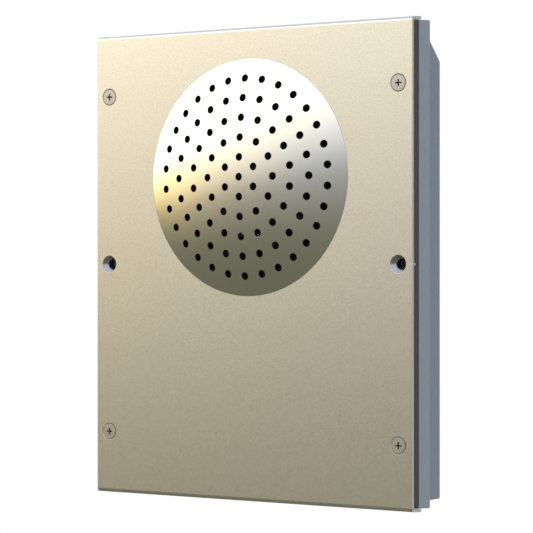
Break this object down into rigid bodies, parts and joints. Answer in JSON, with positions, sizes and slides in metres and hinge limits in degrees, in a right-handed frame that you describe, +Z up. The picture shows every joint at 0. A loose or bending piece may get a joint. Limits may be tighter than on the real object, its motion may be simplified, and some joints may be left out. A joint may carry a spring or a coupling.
{
  "type": "intercom speaker panel",
  "caption": "Wall-mounted intercom speaker panel: bent metal front with a perforated dome over a loudspeaker, foam gasket and stepped back box with line terminals.",
  "frame": {"origin": "middle of the back box's back face, which lies on the wall", "axes": "+X to the right seen from the front, +Y back into the wall, +Z up; the front panel faces -Y"},
  "size_m": [0.194, 0.0401, 0.241],
  "materials": {
    "panel_metal": "fine bead-blasted, champagne anodised",
    "dome_metal": "polished, champagne anodised",
    "gasket_foam": "closed-cell foam",
    "box_plastic": "fine spark texture, blue-grey",
    "screw_nickel": "satin nickel",
    "bush_steel": "turned",
    "brass": "plain",
    "basket_steel": "black, satin",
    "plated_steel": "zinc plated",
    "cone_film": "gloss film",
    "surround_rubber": "matt",
    "spider_cloth": "resin-dipped cloth",
    "former_film": "amber film",
    "copper": "enamelled wire",
    "ferrite": "ground",
    "core_iron": "laminated",
    "strip_board": "paper laminate",
    "board_green": "solder resist",
    "terminal_green": "moulded",
    "winding_tape": "polyester tape",
    "capacitor_sleeve": "shrink sleeve",
    "header_nylon": "moulded",
    "red_insulation": "satin",
    "black_insulation": "satin",
    "grommet_rubber": "matt"
  },
  "bodies": {
    "housing": {"front_panel": "panel_metal", "grille_dome": "dome_metal", "panel_gasket": "gasket_foam", "back_box": "box_plastic", "panel_screws": "screw_nickel", "screw_bushes": "bush_steel", "fixing_bushes": "bush_steel", "screw_inserts": "brass", "speaker_studs": "plated_steel", "speaker_washers": "plated_steel", "speaker_nuts": "plated_steel", "speaker_seal": "gasket_foam", "speaker_basket": "basket_steel", "cone_surround": "surround_rubber", "spider": "spider_cloth", "pole_plate": "plated_steel", "magnet": "ferrite", "pole_yoke": "plated_steel", "tag_strip": "strip_board", "speaker_tags": "brass", "tinsel_leads": "copper", "line_board": "board_green", "board_screws": "plated_steel", "terminal_block": "terminal_green", "terminal_screws": "plated_steel", "transformer_core": "core_iron", "transformer_winding": "winding_tape", "line_capacitor": "capacitor_sleeve", "lead_header": "header_nylon", "speaker_lead_red": "red_insulation", "speaker_lead_black": "black_insulation", "cable_grommet": "grommet_rubber"},
    "moving_cone": {"speaker_cone": "cone_film", "dust_cap": "cone_film", "coil_former": "former_film", "voice_coil": "copper"}
  },
  "joints": [
    {"name": "cone_travel", "type": "slide", "parent": "housing", "child": "moving_cone", "axis": [0, -1, 0], "range_m": [-0.0015, 0.0015], "stiffness_N_per_m": 1200, "deforming": ["cone_surround", "spider", "tinsel_leads"]}
  ]
}
